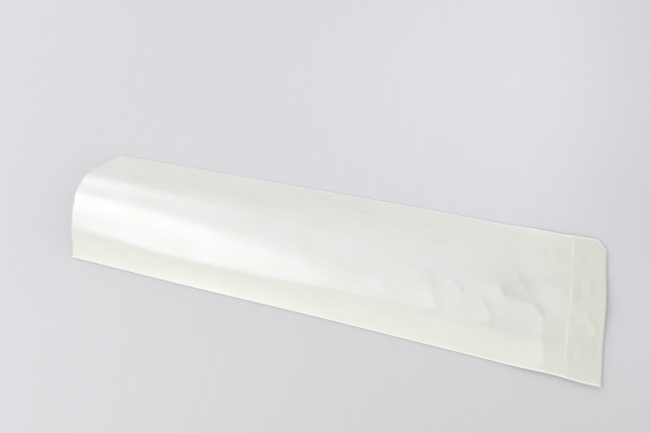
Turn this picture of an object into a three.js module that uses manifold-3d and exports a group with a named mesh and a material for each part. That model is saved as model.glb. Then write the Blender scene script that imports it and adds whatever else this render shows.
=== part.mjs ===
// A sub sandwich bag of white greaseproof paper, lying on a table with its mouth at -X and its bottom at +X.
// It is one sheet: a long tube with a gusset folded into each side, lapped and glued along its back,
// its bottom turned under and glued to the back. The paper keeps a curl, so towards the mouth the bag
// stands up like a roof tile on its two side folds, with the front sheet arched and the back sheet sagging.
import * as THREE from "three";
import { mergeVertices } from "three/addons/utils/BufferGeometryUtils.js";
import Module from "manifold-3d";

const wasm = await Module();
wasm.setup();

// Driving dimensions, in millimetres
const BAG_WIDTH = 102; // flat width between the side folds
const BAG_LENGTH = 356; // mouth edge to bottom fold
// Side fold to the gusset's inner fold, at the mouth and at the bottom: the tuck is a little askew
const NEAR_GUSSET = [20.5, 26];
const FAR_GUSSET = [38.5, 33.5];
const FLAP_LENGTH = 24; // the turned-under bottom
const PAPER = 0.1; // one ply
const PLY_GAP = 0.2; // air between plies that lie together
const FLAP_GAP = 0.3; // air between the back sheet and the flap, which the glue line fills
const SEAM_LAP = 12; // overlap of the glued back seam
const GLUE_WIDTH = 10; // glue line under the flap
const GLUE_INSET = 5; // glue line to the flap's cut edge and to the side folds
const TOOTH_PITCH = 2; // zigzag of the cut ends
const TOOTH_DEPTH = 0.8;

// The curl: how far the side folds are drawn together at the mouth, and where the arch has died out
const MOUTH_DRAW_IN = 20;
const ARCH_STOP = 6; // from the end of the arch to the flap's cut edge
const ARCH_FADE = 16; // length over which the arch melts into the flat bottom
const RIDGE_HALF_WIDTH = 21; // half of the ridge's rounded stretch at the mouth
const FLANK = 26; // the back sheet climbs with the gussets as far as this from each side fold
const SAG_CREST = 7; // rounded crest beyond it, from which the back sheet sags
const FAN = 0.16; // how much flatter the back sheet's flank lies than the front sheet's
const MOUTH_SKEW = 5; // the far corner of the mouth stands back by this much
const MOUTH_BOW = 4; // the ridge stands out by this much before the line between the mouth's corners

// The far corner of the bottom is turned in
const EAR_ALONG = 5.6;
const EAR_ACROSS = 6.4;
const EAR_REACH = 22; // width over which the plies shift to make room for it
const FLAP_SKEW = 0.9; // the flap's far corner peeps out beside the bag
const FLAP_RAMP = 9; // the back sheet climbs onto the flap over this length

// The closed end doesn't lie quite flat: its middle keeps a little of the curl
const END_BOW = 2.6;
const BOW_CENTRE = 4; // towards the far side
const BOW_HALF_WIDTH = 33;
const BOW_RUN = 60; // length over which it takes over from the arch

// Worked out from the driving dimensions
const PITCH = PAPER + PLY_GAP; // middle of one ply to the middle of the next
const STACK = 3 * PITCH + 2 * PAPER; // four plies pressed flat, and the lap of the seam
const BEND_RADIUS = FLAP_GAP / 2; // inside of the bottom fold
const LIFT = STACK + FLAP_GAP; // the flap's thickness and its air, under the bag's end
const BEND_START = BAG_LENGTH - BEND_RADIUS - STACK;
const FLAP_EDGE = BAG_LENGTH - FLAP_LENGTH; // where the flap's cut edge lies, from the mouth
const ARCH_END = FLAP_EDGE - ARCH_STOP;
const HALF_WIDTH = BAG_WIDTH / 2;
const TOP_PLY = 3; // plies are counted from the back sheet, 0, through the gusset's two, to the front sheet, 3

const clamp = (v, lo, hi) => Math.min(hi, Math.max(lo, v));
const smooth = (v) => {
  const t = clamp(v, 0, 1);
  return t * t * (3 - 2 * t);
};

// How far the side folds are drawn together at a station, in millimetres
function drawInAt(station) {
  const left = Math.max(0, ARCH_END - station);
  return (MOUTH_DRAW_IN * left * left) / (left + ARCH_FADE) / (ARCH_END * (ARCH_END / (ARCH_END + ARCH_FADE)));
}

// Half of the rounded ridge: narrow at the mouth, all of the sheet where the arch is low
function ridgeHalfAt(station) {
  const low = smooth(station / ARCH_END);
  return RIDGE_HALF_WIDTH + (HALF_WIDTH - RIDGE_HALF_WIDTH) * low;
}

// Slope of the front sheet at a place across it, from 0 at the near fold to the full width at the far one
function ridgeSlope(across, steep, ridgeHalf) {
  const v = clamp((across - HALF_WIDTH) / ridgeHalf, -1, 1);
  return (-steep * v * (3 - v * v)) / 2;
}

// Slope of the back sheet: it follows the gusset up each flank, rounds a crest and sags between the crests
function sagSlope(across, steep, ridgeHalf, sag) {
  const side = across < HALF_WIDTH ? 1 : -1;
  const inward = side > 0 ? across : BAG_WIDTH - across;
  const flank = Math.abs(ridgeSlope(inward, steep, ridgeHalf)) * (1 - FAN);
  const crestEnd = FLANK + SAG_CREST;
  if (inward <= FLANK) return side * flank;
  if (inward >= crestEnd) return -side * sag * (1 - (inward - crestEnd) / (HALF_WIDTH - crestEnd));
  const over = smooth((inward - FLANK) / SAG_CREST);
  return side * (flank * (1 - over) - sag * over);
}

// Walks across a sheet and returns its points at the given places, starting from y = 0, z = 0
const WALK_STEPS = 8;
function walk(places, slopeAt) {
  const points = [[0, 0]];
  let [y, z] = points[0];
  for (let i = 1; i < places.length; i++) {
    const step = (places[i] - places[i - 1]) / WALK_STEPS;
    for (let j = 0; j < WALK_STEPS; j++) {
      const slope = slopeAt(places[i - 1] + (j + 0.5) * step);
      y += step * Math.cos(slope);
      z += step * Math.sin(slope);
    }
    points.push([y, z]);
  }
  return points;
}

// The angle in [0, most] at which a sheet of these places spans the wanted chord, by halving
const HALVINGS = 36;
function angleForChord(places, chord, most, slopeFor) {
  let [lo, hi] = [0, most];
  for (let i = 0; i < HALVINGS; i++) {
    const middle = (lo + hi) / 2;
    const span = walk(places, (across) => slopeFor(across, middle)).at(-1)[0];
    if (span > chord) lo = middle;
    else hi = middle;
  }
  return (lo + hi) / 2;
}

// Places across the front sheet: coarse over the flanks, finer over the ridge
const FLANK_STEPS = 3;
const RIDGE_STEPS = 10;
const GUSSET_STEPS = 4;
function evenly(from, to, steps) {
  return Array.from({ length: steps }, (_, i) => from + ((to - from) * (i + 1)) / steps);
}
const FAR_FLANK = BAG_WIDTH - FLANK;
const FRONT_PLACES = [
  0,
  ...evenly(0, FLANK, FLANK_STEPS),
  ...evenly(FLANK, FAR_FLANK, RIDGE_STEPS),
  ...evenly(FAR_FLANK, BAG_WIDTH, FLANK_STEPS),
];

// Places across the back sheet, with the two steps of the lapped seam
const SEAM_STEP = 0.3; // a cut edge of the lap shows as a step this wide
const SEAM_SPREAD = 8; // the lower ply comes back to its level over this width
const SEAM_NEAR = HALF_WIDTH - SEAM_LAP / 2;
const SEAM_FAR = HALF_WIDTH + SEAM_LAP / 2;
const CREST_STEPS = 3;
const SAG_STEPS = 2;
const BACK_PLACES = [
  0,
  ...evenly(0, FLANK, FLANK_STEPS),
  ...evenly(FLANK, FLANK + SAG_CREST, CREST_STEPS),
  ...evenly(FLANK + SAG_CREST, SEAM_NEAR - SEAM_STEP, SAG_STEPS),
  SEAM_NEAR,
  HALF_WIDTH,
  SEAM_FAR,
  SEAM_FAR + SEAM_STEP,
  ...evenly(SEAM_FAR + SEAM_STEP, FAR_FLANK - SAG_CREST, SAG_STEPS),
  ...evenly(FAR_FLANK - SAG_CREST, FAR_FLANK, CREST_STEPS),
  ...evenly(FAR_FLANK, BAG_WIDTH, FLANK_STEPS),
];

// Extra paper on the outside and missing paper on the inside of the back sheet, where the seam laps
function seamOutside(across) {
  if (across < SEAM_NEAR) return 0;
  return PAPER * clamp(1 - (across - SEAM_FAR) / SEAM_SPREAD, 0, 1);
}
function seamInside(across) {
  if (across <= SEAM_FAR) return 0;
  return PAPER * clamp(1 - (across - SEAM_FAR - SEAM_STEP) / SEAM_SPREAD, 0, 1);
}

// A ply of one gusset from its side fold to its inner fold, turned to the near (1) or the far (-1) side
function gussetPly(ply, origin, side, depth, steep, ridgeHalf) {
  const share = 1 - (FAN * (TOP_PLY - ply)) / TOP_PLY;
  const places = [0, ...evenly(0, depth, GUSSET_STEPS)];
  const path = walk(places, (across) => share * ridgeSlope(across, steep, ridgeHalf));
  return path.map(([y, z]) => [origin[0] + side * y, origin[1] + z]);
}

// The points of a round fold between two ply ends, without the ends: half a turn to the left or right of from-to
const FOLD_POINTS = 2;
function foldBetween(from, to, turn) {
  const middle = [(from[0] + to[0]) / 2, (from[1] + to[1]) / 2];
  const arm = [from[0] - middle[0], from[1] - middle[1]];
  return evenly(0, turn * Math.PI, FOLD_POINTS + 1)
    .slice(0, -1)
    .map((angle) => [
      middle[0] + arm[0] * Math.cos(angle) - arm[1] * Math.sin(angle),
      middle[1] + arm[0] * Math.sin(angle) + arm[1] * Math.cos(angle),
    ]);
}

// The middle line of the tube's wall at a station, as knots { y, z, outside, inside }, clockwise seen from the mouth
function traceMiddleLine(station) {
  const ridgeHalf = ridgeHalfAt(station);
  const drawIn = drawInAt(station);
  const steepest = Math.PI / 2;
  const steep = angleForChord(FRONT_PLACES, BAG_WIDTH - drawIn, steepest, (across, angle) =>
    ridgeSlope(across, angle, ridgeHalf),
  );
  const front = walk(FRONT_PLACES, (across) => ridgeSlope(across, steep, ridgeHalf));
  const nearFold = [-HALF_WIDTH + drawIn / 2, 0];
  const place = ([y, z]) => [y + nearFold[0], z + nearFold[1]];
  const frontSheet = front.map(place);
  const flank = ridgeSlope(0, steep, ridgeHalf);
  const stackAt = (ply, side) => {
    const drop = (TOP_PLY - ply) * PITCH;
    const end = side > 0 ? frontSheet[0] : frontSheet.at(-1);
    return [end[0] + side * drop * Math.sin(flank), end[1] - drop * Math.cos(flank)];
  };
  const [backNear, backFar] = [stackAt(0, 1), stackAt(0, -1)];
  const sag = angleForChord(BACK_PLACES, backFar[0] - backNear[0], steepest, (across, angle) =>
    sagSlope(across, steep, ridgeHalf, angle),
  );
  const back = walk(BACK_PLACES, (across) => sagSlope(across, steep, ridgeHalf, sag));
  const backSheet = back.map(([y, z], i) => ({
    y: y + backNear[0],
    z: z + backNear[1],
    outside: seamOutside(BACK_PLACES[i]),
    inside: seamInside(BACK_PLACES[i]),
  }));
  const plain = ([y, z]) => ({ y, z, outside: 0, inside: 0 });
  const [nearDepth, farDepth] = [NEAR_GUSSET, FAR_GUSSET].map(
    ([atMouth, atBottom]) => atMouth + (atBottom - atMouth) * Math.min(1, station / BAG_LENGTH),
  );
  const gusset = (side, depth) => [2, 1].map((ply) => gussetPly(ply, stackAt(ply, side), side, depth, steep, ridgeHalf));
  const [farUpper, farLower] = gusset(-1, farDepth);
  const [nearUpper, nearLower] = gusset(1, nearDepth);
  return [
    ...frontSheet.map(plain),
    ...foldBetween(frontSheet.at(-1), farUpper[0], -1).map(plain),
    ...farUpper.map(plain),
    ...foldBetween(farUpper.at(-1), farLower.at(-1), 1).map(plain),
    ...farLower.toReversed().map(plain),
    ...foldBetween(farLower[0], stackAt(0, -1), -1).map(plain),
    ...backSheet.toReversed(),
    ...foldBetween(backNear, nearLower[0], -1).map(plain),
    ...nearLower.map(plain),
    ...foldBetween(nearLower.at(-1), nearUpper.at(-1), 1).map(plain),
    ...nearUpper.toReversed().map(plain),
    ...foldBetween(nearUpper[0], frontSheet[0], -1).map(plain),
  ];
}

const traced = new Map();
function middleLine(station) {
  if (!traced.has(station)) traced.set(station, traceMiddleLine(station));
  return traced.get(station);
}

// The wall's outer and inner outlines at a station, as [y, z], standing on z = 0
function outlines(station) {
  const line = middleLine(station);
  const at = (i) => line[(i + line.length) % line.length];
  const unit = (a, b) => {
    const [dy, dz] = [b.y - a.y, b.z - a.z];
    const length = Math.hypot(dy, dz);
    return [dy / length, dz / length];
  };
  const sides = line.map((knot, i) => {
    const before = unit(at(i - 1), knot);
    const after = unit(knot, at(i + 1));
    const along = [before[0] + after[0], before[1] + after[1]];
    const length = Math.hypot(...along);
    const normal = [-along[1] / length, along[0] / length];
    const shift = (distance) => [knot.y + normal[0] * distance, knot.z + normal[1] * distance];
    return [shift(PAPER / 2 + knot.outside), shift(-PAPER / 2 + knot.inside)];
  });
  const floor = Math.min(...sides.map(([outer]) => outer[1]));
  return [0, 1].map((which) => sides.map((pair) => [pair[which][0], pair[which][1] - floor]));
}

// Places round the wall for the cut teeth: the distance round the middle line, knot by knot
function distancesRound(station) {
  const line = middleLine(station);
  const distances = [0];
  line.forEach((knot, i) => {
    const next = line[(i + 1) % line.length];
    distances.push(distances[i] + Math.hypot(next.y - knot.y, next.z - knot.z));
  });
  return distances;
}

// How much the far corner of the bottom is turned in, at a distance from the bottom fold
function earAt(fromFold) {
  return EAR_ACROSS * clamp(1 - fromFold / EAR_ALONG, 0, 1);
}

// How high the closed end's bow lifts the paper
function bowAt(y, fromMouth) {
  const taken = smooth((fromMouth - ARCH_END + BOW_RUN) / BOW_RUN);
  return END_BOW * taken * smooth(1 - Math.abs(y - BOW_CENTRE) / BOW_HALF_WIDTH);
}

// Puts an outline point in space. Beyond the bend, the tube runs back under itself as the flap.
const BEND_LENGTH = 1; // the bend takes one unit of the station's count, from BEND_START
function inSpace([y, z], station) {
  const beyond = clamp(station - BEND_START, 0, BEND_LENGTH) / BEND_LENGTH;
  const flapRun = Math.max(0, station - BEND_START - BEND_LENGTH);
  const bodyRun = Math.min(station, BEND_START);
  const fromFold = beyond > 0 ? flapRun : BEND_START - station;
  const ear = earAt(fromFold) * smooth((y - HALF_WIDTH + EAR_REACH) / EAR_REACH);
  const skew = (FLAP_SKEW * flapRun) / FLAP_LENGTH;
  const climb = LIFT * smooth((bodyRun - FLAP_EDGE + FLAP_RAMP) / FLAP_RAMP);
  const across = y - ear + skew;
  const bow = bowAt(across, bodyRun - flapRun);
  const side = y / HALF_WIDTH;
  const mouthEdge = (MOUTH_SKEW * (1 + side)) / 2 - MOUTH_BOW * (1 - side * side);
  const backFromMouth = mouthEdge * Math.max(0, 1 - station / FLAP_EDGE);
  const angle = beyond * Math.PI;
  const radius = BEND_RADIUS + z;
  return new THREE.Vector3(
    bodyRun - flapRun - BAG_LENGTH / 2 + backFromMouth + (beyond > 0 ? radius * Math.sin(angle) : 0),
    across,
    bow + (beyond > 0 ? STACK + BEND_RADIUS + radius * Math.cos(angle) : climb + z),
  );
}

// Stations along the tube, from the mouth's cut edge to the flap's
const BODY_STEP = 27;
const MOUTH_BAND = 4; // plain band behind the teeth
const BEND_STEPS = 5;
const FLAP_RUN = BEND_START - FLAP_EDGE;
const LAST_STATION = BEND_START + BEND_LENGTH + FLAP_RUN;
const FLAT_START = FLAP_EDGE - FLAP_RAMP;
const STATIONS = [
  MOUTH_BAND,
  ...evenly(MOUTH_BAND, ARCH_END - 2 * ARCH_FADE, Math.round((ARCH_END - 2 * ARCH_FADE) / BODY_STEP)),
  ...evenly(ARCH_END - 2 * ARCH_FADE, FLAT_START, 4),
  ...evenly(FLAT_START, FLAP_EDGE, 3),
  BEND_START - EAR_ALONG,
  ...evenly(BEND_START - EAR_ALONG, BEND_START, 1),
  ...evenly(BEND_START, BEND_START + BEND_LENGTH, BEND_STEPS),
  BEND_START + BEND_LENGTH + EAR_ALONG,
  LAST_STATION - MOUTH_BAND,
];

// A ring is the wall's outline at a station: { round: distances round the wall, points: in space }
function ringAt(station, which) {
  const outline = outlines(station)[which];
  return { round: distancesRound(station).slice(0, -1), points: outline.map((p) => inSpace(p, station)) };
}

// A ring with the zigzag of a cut end: its knots, with two more for each tooth between them
function cutRing(station, which, direction) {
  const outline = outlines(station)[which];
  const knots = distancesRound(station);
  const total = knots.at(-1);
  const teeth = Math.round(total / TOOTH_PITCH);
  const halfTooth = total / teeth / 2;
  const marks = Array.from({ length: 2 * teeth }, (_, i) => (i + 0.5) * halfTooth);
  const clear = halfTooth / 4;
  const apart = marks.filter((m) => knots.every((k) => Math.abs(k - m) > clear));
  const all = [...knots.slice(0, -1), ...apart].sort((a, b) => a - b);
  const points = all.map((distance) => {
    const i = knots.findLastIndex((k) => k <= distance);
    const share = (distance - knots[i]) / (knots[i + 1] - knots[i]);
    const [a, b] = [outline[i], outline[(i + 1) % outline.length]];
    const point = inSpace([a[0] + (b[0] - a[0]) * share, a[1] + (b[1] - a[1]) * share], station);
    const phase = (distance / (2 * halfTooth)) % 1;
    point.x += direction * TOOTH_DEPTH * (1 - Math.abs(2 * phase - 1));
    return point;
  });
  return { round: all, points };
}

// Joins two rings with triangles, taking the next knot of whichever ring lags behind
function joinRings(triangles, a, b, flip) {
  const total = 1;
  const share = (ring, i) => (i < ring.points.length ? ring.round[i] / ring.length : total);
  const [countA, countB] = [a.points.length, b.points.length];
  let [i, j] = [0, 0];
  while (i < countA || j < countB) {
    const stepA = j >= countB || (i < countA && share(a, i + 1) <= share(b, j + 1));
    const [pa, pb] = [a.points[i % countA], b.points[j % countB]];
    const next = stepA ? a.points[(i + 1) % countA] : b.points[(j + 1) % countB];
    triangles.push(...(flip ? [pa, next, pb] : [pa, pb, next]));
    if (stepA) i++;
    else j++;
  }
}

// One side of the wall, from the mouth's teeth to the flap's
function wallSide(which) {
  const rings = [
    { ...cutRing(0, which, 1), station: 0 },
    ...STATIONS.map((station) => ({ ...ringAt(station, which), station })),
    { ...cutRing(LAST_STATION, which, 1), station: LAST_STATION },
  ];
  rings.forEach((ring) => (ring.length = distancesRound(ring.station).at(-1)));
  return rings;
}

function solidFrom(triangles) {
  const geometry = new THREE.BufferGeometry().setFromPoints(triangles);
  const merged = mergeVertices(geometry, 1e-4);
  return new wasm.Manifold(
    new wasm.Mesh({
      numProp: 3,
      vertProperties: merged.attributes.position.array,
      triVerts: new Uint32Array(merged.index.array),
    }),
  );
}

// The geometry of a solid, with the middle of its box over the origin and its foot on z = 0
function geometryFrom(solid) {
  const mesh = solid.getMesh();
  const geometry = new THREE.BufferGeometry();
  geometry.setAttribute("position", new THREE.BufferAttribute(mesh.vertProperties, 3));
  geometry.setIndex(new THREE.BufferAttribute(mesh.triVerts, 1));
  geometry.computeBoundingBox();
  const middle = geometry.boundingBox.getCenter(new THREE.Vector3());
  return geometry.translate(-middle.x, -middle.y, -geometry.boundingBox.min.z);
}

// The folded tube: its outer side, its inner side and the paper's cut edge at both ends
function foldedTube() {
  const [outer, inner] = [0, 1].map(wallSide);
  const triangles = [];
  for (let i = 1; i < outer.length; i++) {
    joinRings(triangles, outer[i - 1], outer[i], false);
    joinRings(triangles, inner[i - 1], inner[i], true);
  }
  joinRings(triangles, inner[0], outer[0], false);
  joinRings(triangles, outer.at(-1), inner.at(-1), false);
  return solidFrom(triangles);
}

// The glue line that holds the flap to the back sheet; it reaches into the middle of both plies
function glueLine() {
  const inset = GLUE_INSET + EAR_ACROSS;
  const places = BACK_PLACES.filter((across) => across > inset && across < BAG_WIDTH - inset);
  const bites = 1.5 * PAPER;
  const edge = (z) => places.map((across) => across - HALF_WIDTH).map((y) => [y, bowAt(y, FLAP_EDGE) + z]);
  const outline = [...edge(STACK - bites), ...edge(LIFT + bites).toReversed()];
  const alongX = new THREE.Matrix4().makeBasis(
    new THREE.Vector3(0, 1, 0),
    new THREE.Vector3(0, 0, 1),
    new THREE.Vector3(1, 0, 0),
  );
  alongX.setPosition(FLAP_EDGE + GLUE_INSET - BAG_LENGTH / 2, 0, 0);
  return wasm.Manifold.extrude([outline], GLUE_WIDTH).transform(alongX.elements);
}

const bag = new THREE.Mesh(
  geometryFrom(foldedTube().add(glueLine())),
  new THREE.MeshStandardMaterial({ color: 0xe9e9e0, roughness: 0.42, metalness: 0 }),
);
bag.name = "paper_bag";

const group = new THREE.Group();
group.add(bag);
export default group;
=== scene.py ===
"""The look of a sub sandwich bag: a sheet of greaseproof paper, folded into a gusseted tube.

The bag is made as a bag maker makes it. A flat sheet is laid out, ruled into rows and columns, its two cut ends
get their zigzag, and it is then folded: a gusset into each side, a glued lap along the back, the bottom turned
under. The paper keeps its curl and its creases.
"""

import logging
import math
from dataclasses import dataclass, field
from enum import Enum
from typing import Any, Callable, Sequence

import bmesh
import bpy
from mathutils import Matrix, Vector


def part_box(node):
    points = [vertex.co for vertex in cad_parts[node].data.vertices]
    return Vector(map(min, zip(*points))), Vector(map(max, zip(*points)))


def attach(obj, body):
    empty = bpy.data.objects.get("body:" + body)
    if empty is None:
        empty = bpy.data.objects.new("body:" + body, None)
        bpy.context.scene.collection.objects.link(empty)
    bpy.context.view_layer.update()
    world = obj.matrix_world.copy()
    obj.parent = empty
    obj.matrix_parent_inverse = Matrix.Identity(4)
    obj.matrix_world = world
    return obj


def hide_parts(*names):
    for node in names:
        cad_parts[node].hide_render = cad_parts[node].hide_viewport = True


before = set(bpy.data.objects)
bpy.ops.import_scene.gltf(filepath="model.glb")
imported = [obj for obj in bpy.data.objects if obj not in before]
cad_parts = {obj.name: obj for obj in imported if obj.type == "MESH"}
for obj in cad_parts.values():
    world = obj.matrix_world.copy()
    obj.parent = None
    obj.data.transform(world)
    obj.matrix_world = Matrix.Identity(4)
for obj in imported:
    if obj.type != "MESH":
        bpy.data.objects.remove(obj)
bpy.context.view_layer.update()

log = logging.getLogger("sandwich_bag")

MM = 0.001
TOP_PLY = 3  # plies count from the back sheet, 0, to the front sheet
BEND_COUNT = 1 * MM  # what the bend at the closed end takes of the count along the tube
NEAR, FAR = 1, -1
Point = tuple[float, float]
Socket = bpy.types.NodeSocket


def clamp(value: float, low: float = 0.0, high: float = 1.0) -> float:
    """Keeps a number between two others."""
    return min(high, max(low, value))


def smooth(value: float) -> float:
    """Runs from 0 to 1 with soft ends as the value does."""
    t = clamp(value)
    return t * t * (3 - 2 * t)


def ramp(value: float, start: float, stop: float) -> float:
    """Runs softly from 0 at start to 1 at stop, which may be the smaller of the two."""
    return smooth((value - start) / (stop - start))


def evenly(start: float, stop: float, steps: int) -> list[float]:
    """Lists the ends of equal steps from start to stop, without start itself."""
    return [start + (stop - start) * (i + 1) / steps for i in range(steps)]


class Panel(Enum):
    """The parts of the tube's wall, in the order in which the sheet runs round it."""

    BACK_FAR = "back sheet, far half"
    FAR_SIDE_LOW = "far side fold, below the gusset"
    FAR_LOWER = "far gusset, lower ply"
    FAR_INNER = "far gusset, inner fold"
    FAR_UPPER = "far gusset, upper ply"
    FAR_SIDE_HIGH = "far side fold, above the gusset"
    FRONT = "front sheet"
    NEAR_SIDE_HIGH = "near side fold, above the gusset"
    NEAR_UPPER = "near gusset, upper ply"
    NEAR_INNER = "near gusset, inner fold"
    NEAR_LOWER = "near gusset, lower ply"
    NEAR_SIDE_LOW = "near side fold, below the gusset"
    BACK_NEAR = "back sheet, near half"


@dataclass(frozen=True)
class BagSizes:
    """What the bag is cut and folded to, in metres.

    Attributes:
        near_gusset: how deep the near gusset is tucked: distances from the mouth and depths, in millimetres.
        far_gusset: the same for the far gusset.
        pressed: how far the flap's plies are pressed together, as a share of their height.
        lap_papers: how far the outer sheet lies below the inner one at the lap, in thicknesses of the paper.
    """

    width: float = 102 * MM
    length: float = 356 * MM
    near_gusset: tuple[Point, ...] = (
        (0, 20.8), (75, 17.8), (129, 18.4), (193, 21.2), (245, 22.3), (356, 24.5),
    )
    far_gusset: tuple[Point, ...] = ((0, 41), (190, 39.5), (356, 37))
    flap: float = 24 * MM
    paper: float = 0.1 * MM
    ply_gap: float = 0.2 * MM
    flap_gap: float = 1.0 * MM
    pressed: float = 0.34
    lap: float = 12 * MM
    lap_spread: float = 8 * MM
    lap_papers: float = 1.2
    tooth_pitch: float = 2 * MM
    tooth_depth: float = 1.0 * MM

    @property
    def half(self) -> float:
        """Half the width."""
        return self.width / 2

    @property
    def pitch(self) -> float:
        """Middle of one ply to the middle of the next."""
        return self.paper + self.ply_gap

    @property
    def stack(self) -> float:
        """Height of the four plies, with the lap of the seam."""
        return TOP_PLY * self.pitch + 2 * self.paper

    @property
    def bend_radius(self) -> float:
        """Inside radius of the bottom fold."""
        return self.flap_gap / 2

    @property
    def flap_stack(self) -> float:
        """The flap's plies, pressed together."""
        return self.pressed * self.stack

    @property
    def lift(self) -> float:
        """How high the bag's end lies on its flap."""
        return self.flap_stack + self.flap_gap

    @property
    def bend_start(self) -> float:
        """Where the tube begins to turn under, from the mouth."""
        return self.length - self.bend_radius - self.stack

    @property
    def flap_edge(self) -> float:
        """Where the flap's cut edge lies, from the mouth."""
        return self.length - self.flap

    @property
    def last_row(self) -> float:
        """The count at the flap's cut edge."""
        return self.bend_start + BEND_COUNT + self.bend_start - self.flap_edge


@dataclass(frozen=True)
class Curl:
    """The curl that the paper keeps, in metres.

    A run or ramp with two values gives the distances from the mouth at which its change starts and is complete.

    Attributes:
        draw_in: how much closer the side folds lie at the mouth.
        fan: how much flatter the lowest ply lies than the highest, as a share.
        flap_step: share of the lift onto the flap that is taken within flap_ramp, the rest within flap_rise.
        kink: how much steeper the front sheet climbs at the near gusset's inner fold, as a share.
        kink_side: share of the kink at the side fold.
        kink_beyond: share by which the sheet is flatter beyond the inner fold.
        waist: how much narrower the bag is in the middle, as a share.
    """

    draw_in: float = 20 * MM
    arch_stop: float = 6 * MM
    arch_fade: float = 16 * MM
    arch_ease: float = 50 * MM
    ridge_half: float = 21 * MM
    flank: float = 26 * MM
    crest: float = 7 * MM
    fan: float = 0.16
    mouth_skew: float = 5 * MM
    mouth_bow: float = 4 * MM
    end_bow: float = 2.6 * MM
    bow_centre: float = 4 * MM
    bow_half: float = 33 * MM
    bow_run: float = 60 * MM
    ear_along: float = 5.6 * MM
    ear_across: float = 6.4 * MM
    ear_reach: float = 22 * MM
    flap_skew: float = 0.9 * MM
    flap_rise: float = 60 * MM
    flap_ramp: float = 1.2 * MM
    flap_step: float = 0.08
    kink: float = 0.3
    kink_soft: float = 4.5 * MM
    kink_side: float = -0.25
    kink_beyond: float = 0.4
    waist: float = 0.024
    waist_ramp: Point = (60 * MM, 190 * MM)
    waist_end_ramp: Point = (346 * MM, 322 * MM)
    end_stretch: float = 1.2 * MM
    corner_in: float = 1.7 * MM
    corner_in_run: Point = (200 * MM, 310 * MM)
    end_skew: float = 0.6 * MM
    end_skew_run: Point = (240 * MM, 340 * MM)


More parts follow.
